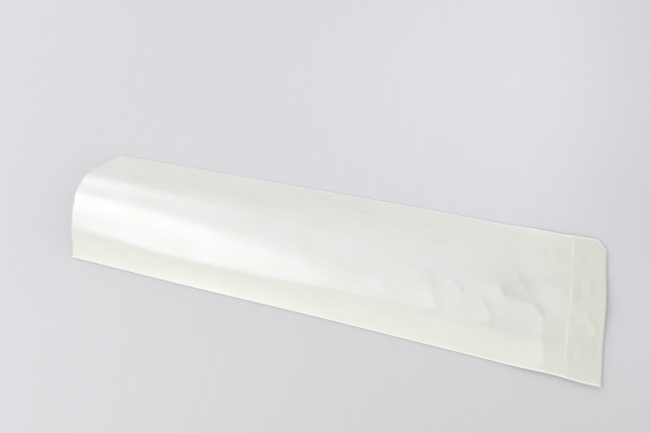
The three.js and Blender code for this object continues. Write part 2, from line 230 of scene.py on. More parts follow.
@dataclass
class Tube:
    """The folded tube: where each place of the sheet lies once the bag is made."""

    sizes: BagSizes = field(default_factory=BagSizes)
    curl: Curl = field(default_factory=Curl)

    WALK_STEP = 0.5 * MM
    HALVINGS = 30

    def arch_end(self) -> float:
        """Where the arch has died out, from the mouth."""
        return self.sizes.flap_edge - self.curl.arch_stop

    def draw_in_at(self, station: float) -> float:
        """How far the side folds are drawn together.

        Args:
            station: distance from the mouth.

        Returns:
            The missing chord, in metres.
        """
        end, fade = self.arch_end(), self.curl.arch_fade
        left = max(0.0, end - station)
        left *= smooth(left / self.curl.arch_ease)
        return self.curl.draw_in * (left * left / (left + fade)) / (end * end / (end + fade))

    def ridge_half_at(self, station: float) -> float:
        """Half the width of the ridge's rounded stretch at a distance from the mouth."""
        low = smooth(station / self.arch_end())
        return self.curl.ridge_half + (self.sizes.half - self.curl.ridge_half) * low

    def gusset_depth(self, tuck: Sequence[Point], station: float) -> float:
        """Finds how deep a gusset is tucked.

        Args:
            tuck: distances from the mouth and depths there, in millimetres.
            station: distance from the mouth.

        Returns:
            Side fold to inner fold, in metres.
        """
        along = station / MM
        for (a, depth_a), (b, depth_b) in zip(tuck, tuck[1:]):
            if along <= b:
                return MM * (depth_a + (depth_b - depth_a) * smooth((along - a) / (b - a)))
        return MM * tuck[-1][1]

    def ridge_slope(self, across: float, steep: float, ridge_half: float, line: float = 0.0) -> float:
        """Slope of the front sheet.

        Args:
            across: place on the sheet, from the near side fold.
            steep: slope of the flanks.
            ridge_half: half width of the rounded ridge.
            line: place of the near gusset's inner fold, up to which the plies together lie steeper, or 0.

        Returns:
            The angle, positive where the sheet climbs.
        """
        v = clamp((across - self.sizes.half) / ridge_half, -1, 1)
        slope = -steep * v * (3 - v * v) / 2
        if line > 0 and across < self.sizes.half:
            curl = self.curl
            on_plies = smooth((line + curl.kink_soft - across) / (2 * curl.kink_soft))
            steeper = curl.kink_side + (1 - curl.kink_side) * across / line
            flatter = -curl.kink_beyond * (self.sizes.half - across) / (self.sizes.half - line)
            slope *= 1 + curl.kink * (steeper * on_plies + flatter * (1 - on_plies))
        return slope

    def sag_slope(self, across: float, steep: float, ridge_half: float, sag: float) -> float:
        """Slope of the back sheet, which climbs with the gussets, rounds a crest and sags between.

        Args:
            across: place on the sheet, from the near side fold.
            steep: slope of the front sheet's flanks.
            ridge_half: half width of the front sheet's ridge.
            sag: slope just inside each crest.

        Returns:
            The angle, positive where the sheet climbs.
        """
        half, flank_width, crest = self.sizes.half, self.curl.flank, self.curl.crest
        side = 1 if across < half else -1
        inward = across if side > 0 else self.sizes.width - across
        flank = abs(self.ridge_slope(inward, steep, ridge_half)) * (1 - self.curl.fan)
        crest_end = flank_width + crest
        if inward <= flank_width:
            return side * flank
        if inward >= crest_end:
            return -side * sag * (1 - (inward - crest_end) / (half - crest_end))
        over = smooth((inward - flank_width) / crest)
        return side * (flank * (1 - over) - sag * over)

    def walk(self, places: Sequence[float], slope: Callable[[float], float]) -> list[Point]:
        """Walks across a sheet.

        Args:
            places: rising places on the sheet, the first one the start.
            slope: the sheet's angle at a place.

        Returns:
            The sheet's y and z at each place, from 0, 0.
        """
        y = z = 0.0
        points = [(y, z)]
        for a, b in zip(places, places[1:]):
            count = max(1, math.ceil((b - a) / self.WALK_STEP))
            step = (b - a) / count
            for j in range(count):
                angle = slope(a + (j + 0.5) * step)
                y += step * math.cos(angle)
                z += step * math.sin(angle)
            points.append((y, z))
        return points

    def angle_for(self, chord: float, slope: Callable[[float, float], float]) -> float:
        """Finds the angle at which a sheet of the bag's width spans a chord.

        Args:
            chord: the span wanted.
            slope: the sheet's slope from a place and the angle tried.

        Returns:
            The angle.
        """
        ends = [0.0, self.sizes.width]
        low, high = 0.0, math.pi / 2
        for _ in range(self.HALVINGS):
            middle = (low + high) / 2
            if self.walk(ends, lambda across: slope(across, middle))[-1][0] > chord:
                low = middle
            else:
                high = middle
        return (low + high) / 2

    def bow_at(self, y: float, from_mouth: float) -> float:
        """Tells how high the closed end's bow lifts the paper.

        Args:
            y: place across the bag.
            from_mouth: distance from the mouth.

        Returns:
            The height.
        """
        curl = self.curl
        taken = ramp(from_mouth, self.arch_end() - curl.bow_run, self.arch_end())
        return curl.end_bow * taken * smooth(1 - abs(y - curl.bow_centre) / curl.bow_half)

    def in_space(self, point: Point, station: float) -> Vector:
        """Puts a place of a cross-section in space; beyond the bend the tube runs back under itself.

        Args:
            point: y and z in the cross-section.
            station: the count along the tube.

        Returns:
            The place, with the middle of the bag's length at x = 0.
        """
        sizes, curl = self.sizes, self.curl
        y, z = point
        side = y / sizes.half
        beyond = clamp((station - sizes.bend_start) / BEND_COUNT)
        flap_run = max(0.0, station - sizes.bend_start - BEND_COUNT)
        body_run = min(station, sizes.bend_start)
        from_mouth = body_run - flap_run
        from_fold = flap_run if beyond > 0 else sizes.bend_start - station

        ear = curl.ear_across * clamp(1 - from_fold / curl.ear_along)
        ear *= smooth((y - sizes.half + curl.ear_reach) / curl.ear_reach)
        across = y - ear + curl.flap_skew * flap_run / sizes.flap
        waist = ramp(from_mouth, *curl.waist_ramp) * ramp(from_mouth, *curl.waist_end_ramp)
        across *= 1 - curl.waist * waist
        across -= curl.corner_in * smooth(side) * ramp(from_mouth, *curl.corner_in_run)

        at_mouth = curl.mouth_skew * (1 + side) / 2 - curl.mouth_bow * (1 - side * side)
        at_end = curl.end_stretch + curl.end_skew * side
        x = from_mouth - sizes.length / 2
        x += at_mouth * max(0.0, 1 - station / sizes.flap_edge) + at_end * ramp(from_mouth, *curl.end_skew_run)

        slow = ramp(body_run, sizes.flap_edge - curl.flap_rise, sizes.flap_edge)
        quick = ramp(body_run, sizes.flap_edge - curl.flap_ramp, sizes.flap_edge)
        height = sizes.lift * (slow + (quick - slow) * curl.flap_step) + z
        if beyond > 0:
            angle = beyond * math.pi
            radius = sizes.bend_radius + z * (1 - (1 - sizes.pressed) * beyond)
            x += radius * math.sin(angle)
            height = sizes.flap_stack + sizes.bend_radius + radius * math.cos(angle)
        return Vector((x, across, height + self.bow_at(across, from_mouth)))


@dataclass(frozen=True)
class Column:
    """One of the sheet's ruled lines along the bag.

    Attributes:
        panel: the part of the wall that it lies on.
        share: its place there, from 0 to 1, in the order in which the sheet runs.
    """

    panel: Panel
    share: float


@dataclass(frozen=True)
class Fold:
    """A crease or the drop at a buckle's edge, along a line of places on the bag.

    Attributes:
        line: places, each as distance from the mouth and distance from the near side fold, in millimetres.
        height: how far the paper stands up on the line, or down where it is negative, in millimetres.
        left: how far that reaches on the line's left side, seen along it, in millimetres.
        right: how far it reaches on its right side.
        soft: how far from the line's ends it takes to reach its full height, in millimetres.
    """

    line: tuple[Point, ...]
    height: float
    left: float
    right: float
    soft: float = 4.0

    END_SHARE = 0.15  # how far along its soft rise a line's very end already is

    def lift(self, along: float, across: float) -> float:
        """Tells how far the paper stands up at a place.

        Args:
            along: distance from the mouth, in millimetres.
            across: distance from the near side fold, in millimetres.

        Returns:
            The height, in millimetres.
        """
        best, side, run, total = math.inf, 1.0, 0.0, 0.0
        for (a, b), (c, d) in zip(self.line, self.line[1:]):
            length = math.hypot(c - a, d - b)
            t = clamp(((along - a) * (c - a) + (across - b) * (d - b)) / (length * length))
            gap = math.hypot(along - a - t * (c - a), across - b - t * (d - b))
            if gap < best:
                best, run = gap, total + t * length
                side = (c - a) * (across - b) - (d - b) * (along - a)
            total += length
        reach = self.left if side > 0 else self.right
        if best >= reach:
            return 0.0
        ends = smooth(run / self.soft + self.END_SHARE) * smooth((total - run) / self.soft + self.END_SHARE)
        return self.height * (1 - best / reach) ** 2 * ends


@dataclass(frozen=True)
class Dent:
    """A round or long dent or bump.

    Attributes:
        place: its middle, as distance from the mouth and from the near side fold, in millimetres.
        reach: its half length and half width, in millimetres.
        turn: the turn of its length towards the far side, in degrees.
        height: how far it stands up, or down where it is negative, in millimetres.
    """

    place: Point
    reach: Point
    turn: float
    height: float

    def lift(self, along: float, across: float) -> float:
        """Tells how far the paper stands up at a place.

        Args:
            along: distance from the mouth, in millimetres.
            across: distance from the near side fold, in millimetres.

        Returns:
            The height, in millimetres.
        """
        a, b = along - self.place[0], across - self.place[1]
        c, s = math.cos(math.radians(self.turn)), math.sin(math.radians(self.turn))
        far = math.hypot((a * c + b * s) / self.reach[0], (b * c - a * s) / self.reach[1])
        return self.height * smooth(1 - far)


@dataclass
class Creases:
    """The dents and buckles that handling has left in the paper.

    Attributes:
        marks: what stands up or down.
        painted_shades: painted shade at the dents, where the paper's colour is darkened as the photograph shows it;
            heights are strengths.
    """

    marks: tuple[Fold | Dent, ...] = (
        Fold(((0, 63), (60, 61.5), (115, 60), (209, 58)), 0.25, 5, 8, 20),
        Dent((240, 41), (48, 24), -3, 1.3),
        Fold(((203, 37), (205, 34.4), (211, 31.3), (217, 28.1)), 0.6, 8, 13),
        Fold(((229, 48), (231.7, 43.9), (239.2, 39), (243.4, 30.3), (247.5, 23)), 0.8, 8, 14),
        Fold(((252, 46), (256.5, 43.2), (261.6, 36.5), (274, 37.5), (279.8, 31), (282.3, 23.3)), 0.85, 7, 13),
        Fold(((283, 50), (286, 46.5), (289, 42.6), (300.3, 42.2), (314, 41)), 1.5, 8, 18, 5),
        Fold(((295, 62), (299, 56), (305, 53)), 0.7, 7, 10, 3),
        Fold(((313, 43), (315, 36), (316.3, 28.2), (317.7, 15.5), (318.8, 4.3)), 0.8, 12, 8, 5),
        Fold(((282.3, 23.3), (288, 21.4), (297, 22.2), (312.8, 23.4)), -0.35, 4, 4),
        Dent((313, 39.5), (3.5, 3), 0, 0.5),
        Dent((317.3, 38), (4, 3), 0, -0.6),
        Dent((256.5, 45), (4, 3), 0, -0.3),
        Fold(((315.3, 86.5), (319, 76.6)), -0.22, 5, 6, 3),
        Fold(((322.2, 90.7), (322.6, 77.6)), 0.2, 5, 5, 3),
        Fold(((337.6, 51.3), (340.5, 58), (339.8, 66.1)), -0.5, 6, 5, 3),
        Fold(((339.6, 89), (346.5, 77.4)), -0.35, 6, 5, 3),
        Fold(((342.7, 45), (347, 39), (352.7, 32)), 0.7, 7, 4, 3),
        Fold(((335, 41), (341, 37)), -0.45, 5, 5, 2),
        Dent((337.7, 16.9), (4, 7), 0, -0.4),
        Dent((353, 25), (4, 24), 0, -0.3),
        Dent((345.2, 64), (4, 12), 0, 0.35),
        Dent((332.8, 99), (5, 4), 0, 0.5),
    )
    # Painted shade: spots where the paper's colour is darkened for the shade of the dents.
    painted_shades: tuple[Dent, ...] = (
        Dent((299, 51), (19, 12), 20, 2.2),
        Dent((312, 43), (13, 6), -30, 1.5),
        Dent((323, 33), (10, 14), 0, 0.6),
        Dent((339, 58), (8, 17), 0, 1.1),
        Dent((341, 37), (9, 11), -30, 1.0),
        Dent((339, 17), (9, 12), 0, 0.9),
    )

    # Heights above the table from which a place takes its whole mark.
    FIRM_UP = 0.8 * MM
    FIRM_DOWN = 2.5 * MM

    def shade(self, along: float, across: float) -> float:
        """How much painted shade darkens the paper's colour at a place, given in millimetres, from 0 to 1."""
        return clamp(sum(dent.lift(along, across) for dent in self.painted_shades))

    def raised(self, point: Vector, sizes: BagSizes) -> Vector:
        """Moves a place of the made bag up or down with the marks; what lies on the table stays.

        Args:
            point: the place.
            sizes: the bag's sizes.

        Returns:
            The new place.
        """
        along, across = (point.x + sizes.length / 2) / MM, (point.y + sizes.half) / MM
        lift = MM * sum(mark.lift(along, across) for mark in self.marks)
        firm = self.FIRM_UP if lift > 0 else self.FIRM_DOWN
        return Vector((point.x, point.y, point.z + lift * clamp(point.z / firm)))


@dataclass
class Section:
    """A cross-section of the folded tube.

    Attributes:
        tube: the tube.
        station: the count along it.
        columns: the sheet's ruled lines.
        front_places: the front sheet's ruled places here.
    """

    tube: Tube
    station: float
    columns: Sequence[Column]
    front_places: Sequence[float]

    def __post_init__(self) -> None:
        """Finds the angles at which the front and the back sheet span the chord between the side folds."""
        tube, sizes = self.tube, self.tube.sizes
        self.ridge_half = tube.ridge_half_at(self.station)
        self.chord = sizes.width - tube.draw_in_at(self.station)
        self.depth = {
            NEAR: tube.gusset_depth(sizes.near_gusset, self.station),
            FAR: tube.gusset_depth(sizes.far_gusset, self.station),
        }
        self.steep = tube.angle_for(self.chord, self.front_slope)
        self.flank = self.front_slope(0, self.steep)
        back_chord = self.stack_at(0, FAR)[0] - self.stack_at(0, NEAR)[0]
        self.sag = tube.angle_for(back_chord, self.back_slope)

    def front_slope(self, across: float, steep: float) -> float:
        """The front sheet's slope at a place."""
        return self.tube.ridge_slope(across, steep, self.ridge_half, self.depth[NEAR])

    def back_slope(self, across: float, sag: float) -> float:
        """The back sheet's slope at a place."""
        return self.tube.sag_slope(across, self.steep, self.ridge_half, sag)

    def stack_at(self, ply: int, side: int) -> Point:
        """Where a ply starts at a side fold."""
        drop = (TOP_PLY - ply) * self.tube.sizes.pitch
        return side * (drop * math.sin(self.flank) - self.chord / 2), -drop * math.cos(self.flank)

    def shares(self, panel: Panel) -> list[float]:
        """The columns' places on a panel, from 0 to 1."""
        return [column.share for column in self.columns if column.panel is panel]

    def front(self) -> list[Point]:
        """Walks the front sheet, whose columns run from the far side fold to the near one."""
        walked = self.tube.walk(self.front_places, lambda across: self.front_slope(across, self.steep))
        return [(y - self.chord / 2, z) for y, z in walked][::-1]

    def gusset(self, panel: Panel, ply: int, side: int) -> list[Point]:
        """Walks a ply of a gusset from its side fold.

        Args:
            panel: the panel.
            ply: its place in the stack.
            side: NEAR or FAR.

        Returns:
            Its columns' places.
        """
        outward = panel in (Panel.FAR_UPPER, Panel.NEAR_LOWER)
        flatter = 1 - self.tube.curl.fan * (TOP_PLY - ply) / TOP_PLY
        line = self.depth[NEAR] if side == NEAR else 0.0
        walked = self.tube.walk(
            sorted((1 - s if outward else s) * self.depth[side] for s in self.shares(panel)),
            lambda across: flatter * self.tube.ridge_slope(across, self.steep, self.ridge_half, line),
        )
        y, z = self.stack_at(ply, side)
        points = [(y + side * walked_y, z + walked_z) for walked_y, walked_z in walked]
        return points[::-1] if outward else points

    def back(self, panel: Panel) -> list[Point]:
        """Walks a half of the back sheet; the far half lies outside the near one at the lap.

        Args:
            panel: the half.

        Returns:
            Its columns' places.
        """
        sizes = self.tube.sizes
        lap_near, lap_far = sizes.half - sizes.lap / 2, sizes.half + sizes.lap / 2
        far = panel is Panel.BACK_FAR
        first, last = (lap_near, sizes.width) if far else (0.0, lap_far)
        places = [first + (last - first) * s for s in self.shares(panel)]
        lead = [0.0] if far else []
        walked = self.tube.walk(lead + places, lambda across: self.back_slope(across, self.sag))
        start = self.stack_at(0, NEAR)
        points = []
        for place, (y, z) in zip(places, walked[len(lead):]):
            angle = self.back_slope(place, self.sag)
            out = sizes.lap_papers * sizes.paper * clamp(1 - (place - lap_far) / sizes.lap_spread) * far
            points.append((start[0] + y + out * math.sin(angle), start[1] + z - out * math.cos(angle)))
        return points

    def fold(self, panel: Panel, start: Point, stop: Point) -> list[Point]:
        """Rounds a fold by half a turn.

        Args:
            panel: the fold.
            start: the last place of the panel before it.
            stop: the first place of the panel after it.

        Returns:
            Its columns' places.
        """
        turn = -math.pi if panel in (Panel.FAR_INNER, Panel.NEAR_INNER) else math.pi
        middle_y, middle_z = (start[0] + stop[0]) / 2, (start[1] + stop[1]) / 2
        arm_y, arm_z = start[0] - middle_y, start[1] - middle_z
        points = []
        for share in self.shares(panel):
            c, s = math.cos(turn * share), math.sin(turn * share)
            points.append((middle_y + arm_y * c - arm_z * s, middle_z + arm_y * s + arm_z * c))
        return points

    def outline(self) -> list[tuple[float, float, float]]:
        """Lays the columns round the tube.

        Returns:
            For each column its y and z, and its distance round the sheet from the near side fold of the front sheet.
        """
        parts = {
            Panel.BACK_FAR: self.back(Panel.BACK_FAR),
            Panel.FAR_LOWER: self.gusset(Panel.FAR_LOWER, 1, FAR),
            Panel.FAR_UPPER: self.gusset(Panel.FAR_UPPER, 2, FAR),
            Panel.FRONT: self.front(),
            Panel.NEAR_UPPER: self.gusset(Panel.NEAR_UPPER, 2, NEAR),
            Panel.NEAR_LOWER: self.gusset(Panel.NEAR_LOWER, 1, NEAR),
            Panel.BACK_NEAR: self.back(Panel.BACK_NEAR),
        }
        order = list(Panel)
        points: list[Point] = []
        for index, panel in enumerate(order):
            if panel in parts:
                points += parts[panel]
            else:
                points += self.fold(panel, parts[order[index - 1]][-1], parts[order[index + 1]][0])
        low = min(z for _, z in points) - self.tube.sizes.paper / 2
        distances = [0.0]
        for a, b in zip(points, points[1:]):
            distances.append(distances[-1] + math.dist(a, b))
        zero = distances[max(i for i, column in enumerate(self.columns) if column.panel is Panel.FRONT)]
        return [(y, z - low, zero - d) for (y, z), d in zip(points, distances)]


@dataclass
class PaperBag:
    """The bag: one folded sheet.

    Attributes:
        line_half: half the width of the line that shows where a gusset's inner fold lies.
        front_steps: how many strips rule the front sheet up to, over and between those lines.
        hidden_steps: how many strips rule the other panels, each about a tooth wide.
        fold_points: columns that round a fold.
        band: length of the first and the last row, which the zigzag is cut into.
        plain_end: distance from the mouth from which the rows lie closer.
    """

    tube: Tube = field(default_factory=Tube)
    creases: Creases = field(default_factory=Creases)
    line_half: float = 0.5 * MM
    front_steps: tuple[int, ...] = (20, 1, 1, 42, 1, 1, 38)
    hidden_steps: dict[Panel, int] = field(default_factory=lambda: {
        Panel.BACK_FAR: 28, Panel.FAR_LOWER: 20, Panel.FAR_UPPER: 20,
        Panel.BACK_NEAR: 28, Panel.NEAR_LOWER: 10, Panel.NEAR_UPPER: 10,
    })
    fold_points: int = 3
    band: float = 2.4 * MM
    plain_end: float = 236 * MM

    # How the plies and the inner fold lines show through, with a painted shade beside the near fold line: the columns
    # over which they fade, where that is, and how strongly.
    PLY_FADE = 8
    NEAR_SHIFT, FAR_SHIFT = 0.4, 0.5
    NEAR_LINE, FAR_LINE = 1.0, 0.5
    FAR_SHARE = 0.55
    SHADOW_SHARE = 0.6

    # What tells a cut edge of the hidden panels: its run across the bag, and its least and most length in teeth.
    CROSSWISE = 0.9
    TOOTH_WIDTHS = (0.6, 1.2)
    SMOOTH_ANGLE = 50

    def front_places(self, station: float) -> list[float]:
        """Rules the front sheet, with a line on each gusset's inner fold.

        Args:
            station: distance from the mouth.

        Returns:
            The places of its lines, from the near side fold.
        """
        tube = self.tube
        station = min(station, tube.sizes.bend_start)
        near = tube.gusset_depth(tube.sizes.near_gusset, station)
        far = tube.sizes.width - tube.gusset_depth(tube.sizes.far_gusset, station)
        half = self.line_half
        knots = (0.0, near - half, near, near + half, far - half, far, far + half, tube.sizes.width)
        places = [0.0]
        for start, stop, steps in zip(knots, knots[1:], self.front_steps):
            places += evenly(start, stop, steps)
        return places

    def columns(self) -> list[Column]:
        """Rules the sheet along the bag: fine over the front, coarser where it is hidden, close at the folds.

        Returns:
            The ruled lines, in the order in which the sheet runs.
        """
        ruled = []
        for panel in Panel:
            count = sum(self.front_steps) if panel is Panel.FRONT else self.hidden_steps.get(panel, 0)
            if count:
                ruled += [Column(panel, i / count) for i in range(count + 1)]
            else:
                ruled += [Column(panel, (i + 1) / (self.fold_points + 1)) for i in range(self.fold_points)]
        return ruled

    def rows(self) -> list[float]:
        """Rules the sheet across the bag.

        Returns:
            The counts of the ruled lines, from the mouth to the flap's edge.
        """
        sizes, curl = self.tube.sizes, self.tube.curl
        after_bend = sizes.bend_start + BEND_COUNT
        ruled = [0.0]
        for stop, count in (
            (self.band, 1),
            (self.plain_end, 44),
            (sizes.flap_edge - curl.flap_ramp, 84),
            (sizes.flap_edge, 4),
            (sizes.bend_start - curl.ear_along, 13),
            (sizes.bend_start, 5),
            (after_bend, 8),
            (after_bend + curl.ear_along, 3),
            (sizes.last_row - self.band, 6),
            (sizes.last_row, 1),
        ):
            ruled += evenly(ruled[-1], stop, count)
        return ruled

    def lay_sheet(self, rows: int, columns: int) -> bpy.types.Object:
        """Adds the flat sheet as a ruled grid.

        Args:
            rows: ruled lines across the bag.
            columns: ruled lines along it.

        Returns:
            The sheet's object, selected, and one metre square for now; folding gives it its size.
        """
        bpy.ops.mesh.primitive_grid_add(
            x_subdivisions=rows - 1, y_subdivisions=columns - 1, size=1, calc_uvs=True, location=(0, 0, 0)
        )
        sheet = bpy.context.object
        sheet.name = sheet.data.name = "bag_paper"
        return sheet

    def fold_sheet(self, sheet: bpy.types.Object, rows: list[float], columns: list[Column]) -> None:
        """Moves every vertex of the flat sheet to its place on the made bag, and lays out its UV map.

        Args:
            sheet: the flat sheet.
            rows: its ruled lines across the bag.
            columns: its ruled lines along it.
        """
        sizes = self.tube.sizes
        mesh = bmesh.new()
        mesh.from_mesh(sheet.data)
        uv = mesh.loops.layers.uv.verify()
        plies = mesh.verts.layers.float.new("plies")
        lines = mesh.verts.layers.float.new("lines")
        grid: dict[tuple[int, int], bmesh.types.BMVert] = {}
        for vert in mesh.verts:
            i = round((vert.co.x + 0.5) * (len(rows) - 1))
            j = round((vert.co.y + 0.5) * (len(columns) - 1))
            grid[i, j] = vert
        on_sheet: dict[int, Point] = {}
        for i, station in enumerate(rows):
            outline = Section(self.tube, station, columns, self.front_places(station)).outline()
            for j, (y, z, round_sheet) in enumerate(outline):
                column, vert = columns[j], grid[i, j]
                on_front = column.panel is Panel.FRONT
                vert.co = self.creases.raised(self.tube.in_space((y, z), station), sizes)
                if on_front and i in (0, len(rows) - 1):
                    vert.co.x += self.tooth(station, column.share)
                on_sheet[vert.index] = (station, round_sheet)
                # lines: the inner fold lines that show through, with a painted shade beside the near one.
                vert[plies], vert[lines] = self.plies_at(column)
                # The dents' painted shade darkens the front sheet's colour as well.
                if on_front and station < sizes.bend_start:
                    vert[lines] = max(vert[lines], self.creases.shade(station / MM, round_sheet / MM))
        for face in mesh.faces:
            for loop in face.loops:
                loop[uv].uv = on_sheet[loop.vert.index]
        bmesh.ops.recalc_face_normals(mesh, faces=mesh.faces)
        mesh.to_mesh(sheet.data)
        mesh.free()

    def plies_at(self, column: Column) -> tuple[float, float]:
        """Tells what lies against a place of the sheet.

        Args:
            column: the ruled line.

        Returns:
            From 0 to 1 how far the gusset's plies lie there, and how much a gusset's inner fold line, and the painted
            shade beside the near one, darken it.
        """
        if column.panel is not Panel.FRONT:
            return (0.0 if column.panel in (Panel.BACK_FAR, Panel.BACK_NEAR) else 1.0), 0.0
        count = sum(self.front_steps)
        near_line, far_line = self.front_steps[0] + 1, count - self.front_steps[-1] - 1
        index = count - round(column.share * count)
        near = smooth((near_line - index) / self.PLY_FADE + self.NEAR_SHIFT)
        far = self.FAR_SHARE * smooth((index - far_line) / self.PLY_FADE + self.FAR_SHIFT)
        if index in (near_line, far_line):
            return max(near, far), self.NEAR_LINE if index == near_line else self.FAR_LINE
        # Painted shade just inside the near inner fold line, fading towards the near side fold.
        shadow = smooth(1 - (near_line - index) / self.PLY_FADE) if index < near_line else 0.0
        return max(near, far), self.SHADOW_SHARE * shadow

    def tooth(self, station: float, share: float) -> float:
        """Tells how far the zigzag cuts back the front sheet at a column.

        Args:
            station: distance from the mouth.
            share: the column's share of the front sheet.

        Returns:
            The cut's depth there.
        """
        places = self.front_places(station)
        count = len(places) - 1
        teeth = places[count - round(share * count)] / self.tube.sizes.tooth_pitch
        return self.tube.sizes.tooth_depth * (1 - 2 * abs(teeth % 1 - 0.5))

    def cut_teeth(self, sheet: bpy.types.Object) -> None:
        """Cuts the zigzag into the other panels, whose columns stand a tooth apart: each middle goes back.

        Args:
            sheet: the folded sheet.
        """
        sizes = self.tube.sizes
        least, most = (share * sizes.tooth_pitch for share in self.TOOTH_WIDTHS)
        bpy.ops.object.mode_set(mode="EDIT")
        bpy.ops.mesh.select_mode(type="EDGE")
        bpy.ops.mesh.select_all(action="DESELECT")
        mesh = bmesh.from_edit_mesh(sheet.data)
        for edge in mesh.edges:
            a, b = (vert.co for vert in edge.verts)
            length = (a - b).length
            crosswise = abs(a.x - b.x) < self.CROSSWISE * length
            edge.select = edge.is_boundary and crosswise and least < length < most
        peaks = len(mesh.verts)
        bmesh.update_edit_mesh(sheet.data)
        bpy.ops.mesh.subdivide(number_cuts=1)
        bpy.ops.object.mode_set(mode="OBJECT")
        for vert in list(sheet.data.vertices)[peaks:]:
            vert.co.x += sizes.tooth_depth

    def settle(self, sheet: bpy.types.Object) -> None:
        """Moves the bag's vertices together into the box that the CAD part fills.

        Args:
            sheet: the folded sheet.
        """
        low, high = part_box("paper_bag")
        xs, ys, zs = zip(*(vert.co for vert in sheet.data.vertices))
        half_paper = self.tube.sizes.paper / 2
        shift = Vector((
            high.x - max(xs) - half_paper + self.tube.curl.end_stretch,
            (low.y + high.y) / 2 - (min(ys) + max(ys)) / 2,
            half_paper - min(zs),
        ))
        sheet.data.transform(Matrix.Translation(shift))

    def give_thickness(self, sheet: bpy.types.Object) -> None:
        """Gives the sheet the paper's thickness and smooth shading.

        Args:
            sheet: the folded sheet.
        """
        solidify = sheet.modifiers.new("paper", "SOLIDIFY")
        solidify.thickness = self.tube.sizes.paper
        solidify.offset = 0
        bpy.ops.object.modifier_apply(modifier=solidify.name)
        bpy.ops.object.shade_smooth_by_angle(angle=math.radians(self.SMOOTH_ANGLE))

    def build(self) -> bpy.types.Object:
        """Makes the bag.

        Returns:
            The finished piece, without its material.
        """
        rows, columns = self.rows(), self.columns()
        sheet = self.lay_sheet(len(rows), len(columns))
        self.fold_sheet(sheet, rows, columns)
        self.cut_teeth(sheet)
        self.settle(sheet)
        self.give_thickness(sheet)
        log.info("%s: %d rows, %d columns", sheet.name, len(rows), len(columns))
        return sheet


@dataclass(frozen=True)
class Num:
    """A number that varies over a surface: a socket whose sums and products add Math nodes."""

    shader: "Shader"
    socket: Socket

    def math(self, operation: str, *others: "Num | float") -> "Num":
        """Adds a Math node with this number as its first value."""
        node = self.shader.add(
            "ShaderNodeMath", {"operation": operation}, {i: v for i, v in enumerate((self, *others))}
        )
        return Num(self.shader, node.outputs[0])

    def __add__(self, other: "Num | float") -> "Num":
        """Adds."""
        return self.math("ADD", other)

    __radd__ = __add__

    def __sub__(self, other: "Num | float") -> "Num":
        """Subtracts."""
        return self.math("SUBTRACT", other)

    def __rsub__(self, other: float) -> "Num":
        """Subtracts this from a number."""
        return (self * -1.0) + other

    def __mul__(self, other: "Num | float") -> "Num":
        """Multiplies."""
        return self.math("MULTIPLY", other)

    __rmul__ = __mul__

    def absolute(self) -> "Num":
        """Drops the sign."""
        return self.math("ABSOLUTE")

    def step(self, low: float, high: float) -> "Num":
        """Runs softly from 0 to 1.

        Args:
            low: where it is 0.
            high: where it is 1, which may be the smaller.

        Returns:
            The softened number.
        """
        falling = low > high
        node = self.shader.add(
            "ShaderNodeMapRange",
            {"interpolation_type": "SMOOTHSTEP"},
            {
                "Value": self,
                "From Min": min(low, high),
                "From Max": max(low, high),
                "To Min": 1.0 if falling else 0.0,
                "To Max": 0.0 if falling else 1.0,
            },
        )
        return Num(self.shader, node.outputs[0])


class Shader:
    """A node material that is written in Python."""

    def __init__(self, name: str) -> None:
        """Starts a material with only its output.

        Args:
            name: the material's name.
        """
        self.material = bpy.data.materials.new(name)
        self.material.use_nodes = True
        self.nodes = self.material.node_tree.nodes
        self.links = self.material.node_tree.links
        self.nodes.clear()
        self.output = self.nodes.new("ShaderNodeOutputMaterial")

    def add(self, kind: str, settings: dict[str, Any], values: dict[Any, Any]) -> bpy.types.Node:
        """Adds a node.

        Args:
            kind: the node's type.
            settings: its properties, set first.
            values: a value, Num or socket for each input, by name or number.

        Returns:
            The node.
        """
        node = self.nodes.new(kind)
        for key, value in settings.items():
            setattr(node, key, value)
        for key, value in values.items():
            socket = node.inputs[key]
            source = value.socket if isinstance(value, Num) else value
            if isinstance(source, bpy.types.NodeSocket):
                self.links.new(source, socket)
            else:
                socket.default_value = source
        return node

    def mix(self, share: Num, first: Any, second: Any) -> Socket:
        """Mixes two colours.

        Args:
            share: how much of the second.
            first: a colour or socket.
            second: a colour or socket.

        Returns:
            The mixed colour's socket.
        """
        node = self.add("ShaderNodeMix", {"data_type": "RGBA"}, {0: share, 6: first, 7: second})
        return node.outputs[2]

    def attribute(self, name: str) -> Num:
        """Reads a number that the mesh carries."""
        node = self.add("ShaderNodeAttribute", {"attribute_name": name}, {})
        return Num(self, node.outputs["Fac"])

    def noise(self, vector: Socket, scales: Point, detail: float, roughness: float) -> Num:
        """Adds a noise texture.

        Args:
            vector: its coordinates.
            scales: how often it repeats in a metre along and across.
            detail: how many finer layers it has.
            roughness: how strong they are.

        Returns:
            Its value, about 0.5 on average.
        """
        spread = self.add("ShaderNodeMapping", {}, {"Vector": vector, "Scale": (*scales, 1.0)}).outputs[0]
        node = self.add(
            "ShaderNodeTexNoise",
            {"noise_dimensions": "3D"},
            {"Vector": spread, "Scale": 1.0, "Detail": detail, "Roughness": roughness},
        )
        return Num(self, node.outputs["Fac"])

    def finish(self, values: dict[str, Any]) -> bpy.types.Material:
        """Puts a Principled BSDF with these values on the output, and gives the material."""
        bsdf = self.add("ShaderNodeBsdfPrincipled", {}, values)
        self.links.new(bsdf.outputs[0], self.output.inputs["Surface"])
        return self.material


Colour = tuple[float, float, float, float]


